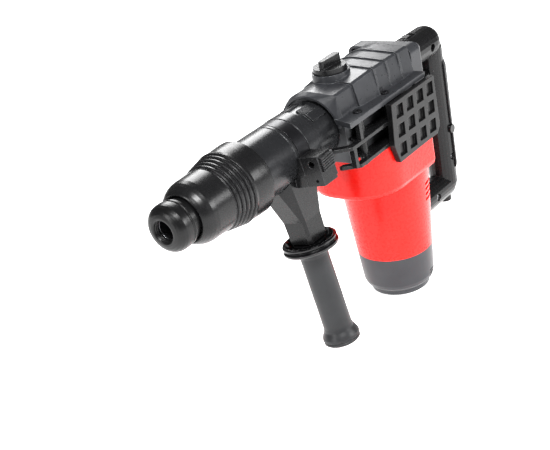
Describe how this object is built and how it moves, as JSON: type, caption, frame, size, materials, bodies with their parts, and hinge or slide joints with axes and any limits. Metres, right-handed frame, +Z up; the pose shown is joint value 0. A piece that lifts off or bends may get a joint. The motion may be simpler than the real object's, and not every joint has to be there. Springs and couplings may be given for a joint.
{
  "type": "rotary hammer",
  "caption": "Heavy rotary hammer with a vertical motor, keyless chuck, swivelling side handle, depth stop, guarded gearbox and D-shaped rear handle.",
  "frame": {"origin": "centre of the tool holder's mouth, inside the dust cap, on the tool axis", "axes": "+X runs back along the tool axis to the rear handle, so a bit leaves along -X; +Z is up, away from the motor; the side handle's depth stop is on the -Y side"},
  "size_m": [0.4598, 0.118, 0.286],
  "materials": {
    "red_plastic": "satin moulded",
    "grey_plastic": "satin moulded",
    "cap_grey": "satin moulded",
    "black_plastic": "fine texture",
    "gloss_black": "polished moulding",
    "rubber_black": "satin",
    "grip_rubber": "fine matte",
    "housing_metal": "satin painted magnesium",
    "gearbox_alloy": "as cast",
    "steel": "machined",
    "hard_steel": "hardened and ground",
    "spring_steel": "drawn wire",
    "bearing_steel": "ground",
    "alloy": "turned",
    "copper": "turned copper bars",
    "windings": "laminations and varnished windings",
    "brass": "pressed",
    "carbon": "sintered carbon",
    "screw_black": "blackened steel"
  },
  "bodies": {
    "housing": {"front_housing": "housing_metal", "gear_housing": "gearbox_alloy", "top_cover": "grey_plastic", "side_guard_left": "black_plastic", "side_guard_right": "black_plastic", "bumper_left": "rubber_black", "bumper_right": "rubber_black", "motor_housing": "red_plastic", "motor_end_cap": "cap_grey", "stator": "windings", "brush_holders": "brass", "rear_cover": "grey_plastic", "handle_shell_left": "black_plastic", "handle_shell_right": "black_plastic", "grip_pad": "grip_rubber", "switch_module": "black_plastic", "trigger_pin": "steel", "cord_gland": "rubber_black", "spindle_bearings": "bearing_steel", "crank_bearings": "bearing_steel", "middle_bearings": "bearing_steel", "rotor_bearings": "bearing_steel", "cover_screws": "screw_black", "motor_screws": "steel", "end_cap_screws": "screw_black", "handle_screws": "steel"},
    "spindle": {"tool_holder": "hard_steel", "dust_cap": "rubber_black", "locking_rollers": "bearing_steel", "cylinder": "steel", "face_gear": "hard_steel", "sleeve_spring": "spring_steel"},
    "sleeve": {"locking_sleeve": "black_plastic"},
    "beat": {"beat_piece": "hard_steel"},
    "striker": {"striker": "hard_steel"},
    "piston": {"piston": "alloy", "wrist_pin": "bearing_steel"},
    "rod": {"connecting_rod": "alloy"},
    "crank": {"crankshaft": "hard_steel", "crank_gear": "hard_steel"},
    "middle": {"middle_shaft": "hard_steel", "middle_gear": "hard_steel"},
    "rotor": {"rotor_shaft": "steel", "rotor_core": "windings", "commutator": "copper", "fan": "black_plastic"},
    "side_handle": {"handle_bracket": "black_plastic", "clamp_band": "screw_black", "depth_stop_block": "black_plastic", "clamp_bolt": "steel"},
    "grip": {"guard_ring": "gloss_black", "side_grip": "grip_rubber", "grip_nut": "steel"},
    "depth_button": {"depth_button": "black_plastic"},
    "mode_knob": {"mode_knob": "black_plastic"},
    "speed_dial": {"speed_dial": "black_plastic"},
    "trigger": {"trigger": "gloss_black"},
    "lock_button": {"lock_button": "gloss_black"},
    "brush_left": {"brush_left": "carbon"},
    "brush_right": {"brush_right": "carbon"}
  },
  "joints": [
    {"name": "rotor_spin", "type": "hinge", "parent": "housing", "child": "rotor", "pos_m": [0.316, 0, 0], "axis": [0, 0, 1], "continuous": true},
    {"name": "crank_spin", "type": "hinge", "parent": "housing", "child": "crank", "pos_m": [0.286, 0, 0], "axis": [0, 0, 1], "continuous": true},
    {"name": "middle_spin", "type": "hinge", "parent": "housing", "child": "middle", "pos_m": [0.252, 0, 0], "axis": [0, 0, 1], "continuous": true},
    {"name": "chuck_spin", "type": "hinge", "parent": "housing", "child": "spindle", "pos_m": [0, 0, 0], "axis": [1, 0, 0], "continuous": true},
    {"name": "sleeve_pull", "type": "slide", "parent": "spindle", "child": "sleeve", "axis": [1, 0, 0], "range_m": [0, 0.008], "stiffness_N_per_m": 2500, "springref_m": -0.006, "deforming": ["sleeve_spring"]},
    {"name": "beat_slide", "type": "slide", "parent": "spindle", "child": "beat", "axis": [-1, 0, 0], "range_m": [0, 0.005]},
    {"name": "striker_slide", "type": "slide", "parent": "spindle", "child": "striker", "axis": [1, 0, 0], "range_m": [-0.009, 0.016]},
    {"name": "piston_slide", "type": "slide", "parent": "housing", "child": "piston", "axis": [1, 0, 0], "range_m": [0, 0.028]},
    {"name": "rod_swing", "type": "hinge", "parent": "piston", "child": "rod", "pos_m": [0.216, 0, 0], "axis": [0, 0, 1], "range_deg": [-14, 14]},
    {"name": "mode_turn", "type": "hinge", "parent": "housing", "child": "mode_knob", "pos_m": [0.256, 0, 0], "axis": [0, 0, 1], "range_deg": [0, 90]},
    {"name": "handle_swing", "type": "hinge", "parent": "housing", "child": "side_handle", "pos_m": [0, 0, 0], "axis": [1, 0, 0], "continuous": true},
    {"name": "grip_twist", "type": "hinge", "parent": "side_handle", "child": "grip", "pos_m": [0.1577, 0, 0], "axis": [0, -0.159, -0.9873], "range_deg": [-180, 180]},
    {"name": "depth_button_press", "type": "slide", "parent": "side_handle", "child": "depth_button", "axis": [0, 0.9873, -0.159], "range_m": [0, 0.0017], "stiffness_N_per_m": 900, "springref_m": -0.002},
    {"name": "trigger_pull", "type": "hinge", "parent": "housing", "child": "trigger", "pos_m": [0.426, 0, -0.0185], "axis": [0, -1, 0], "range_deg": [0, 5], "stiffness_Nm_per_rad": 2.5, "springref_deg": -6.88},
    {"name": "lock_press", "type": "slide", "parent": "housing", "child": "lock_button", "axis": [0, 1, 0], "range_m": [0, 0.002], "stiffness_N_per_m": 900, "springref_m": -0.002},
    {"name": "dial_turn", "type": "hinge", "parent": "housing", "child": "speed_dial", "pos_m": [0.398, 0, 0.018], "axis": [0, 1, 0], "range_deg": [-130, 130]},
    {"name": "brush_left_slide", "type": "slide", "parent": "housing", "child": "brush_left", "axis": [0, -1, 0], "range_m": [0, 0.004], "stiffness_N_per_m": 250, "springref_m": -0.006},
    {"name": "brush_right_slide", "type": "slide", "parent": "housing", "child": "brush_right", "axis": [0, 1, 0], "range_m": [0, 0.004], "stiffness_N_per_m": 250, "springref_m": -0.006}
  ],
  "couplings": [
    {"joint": "crank_spin", "follows": "rotor_spin", "ratio": -0.22449},
    {"joint": "middle_spin", "follows": "rotor_spin", "ratio": 0.57895},
    {"joint": "chuck_spin", "follows": "rotor_spin", "ratio": -0.19298}
  ]
}
